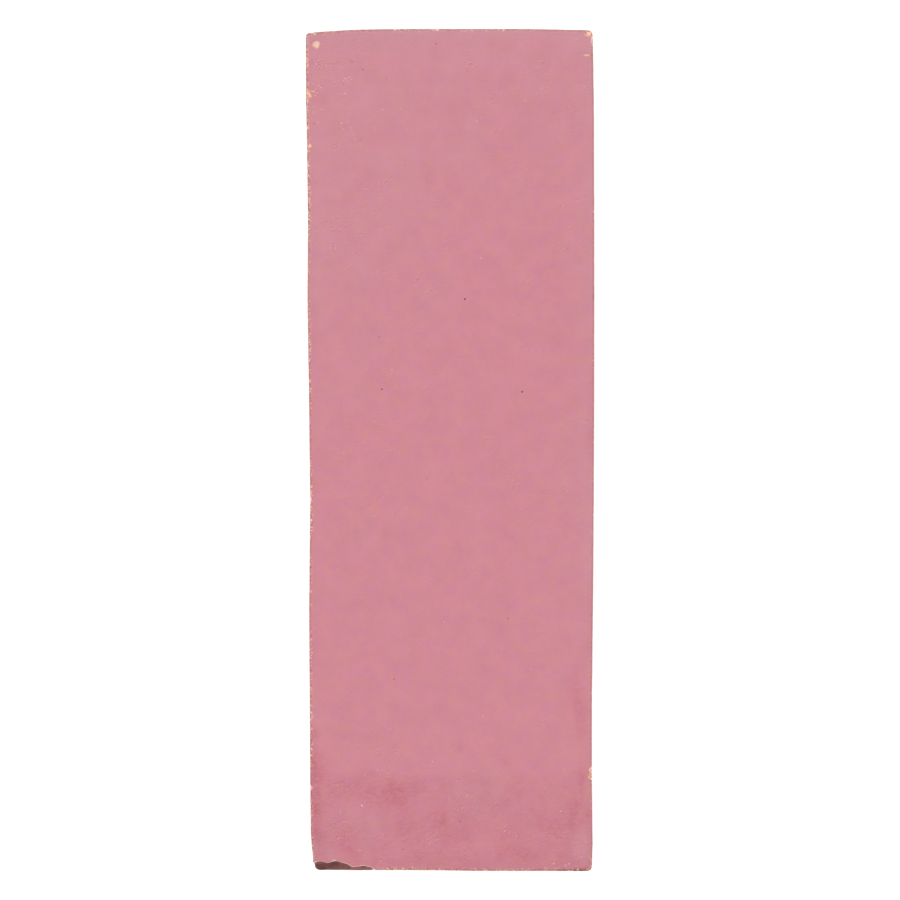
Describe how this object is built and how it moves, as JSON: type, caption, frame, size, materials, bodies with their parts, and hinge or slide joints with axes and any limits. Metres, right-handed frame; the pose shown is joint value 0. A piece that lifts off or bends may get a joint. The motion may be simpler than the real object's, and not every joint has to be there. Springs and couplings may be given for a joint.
{
  "type": "glazed clay bar tile",
  "caption": "Flat hand-made bar of fired clay with a cream slip and a pink glaze over its face, worn edges and a broken corner.",
  "frame": {"origin": "centre of the back face, on the surface the bar lies on", "axes": "+Z out of the glazed face, +Y along the length, away from the broken corner, +X across the width"},
  "size_m": [0.0514, 0.15, 0.015],
  "materials": {
    "clay": "matt fired clay",
    "slip": "matt slip",
    "glaze": "satin glaze"
  },
  "bodies": {
    "root": {"clay_body": "clay", "slip_coat": "slip", "glaze_coat": "glaze"}
  },
  "joints": []
}
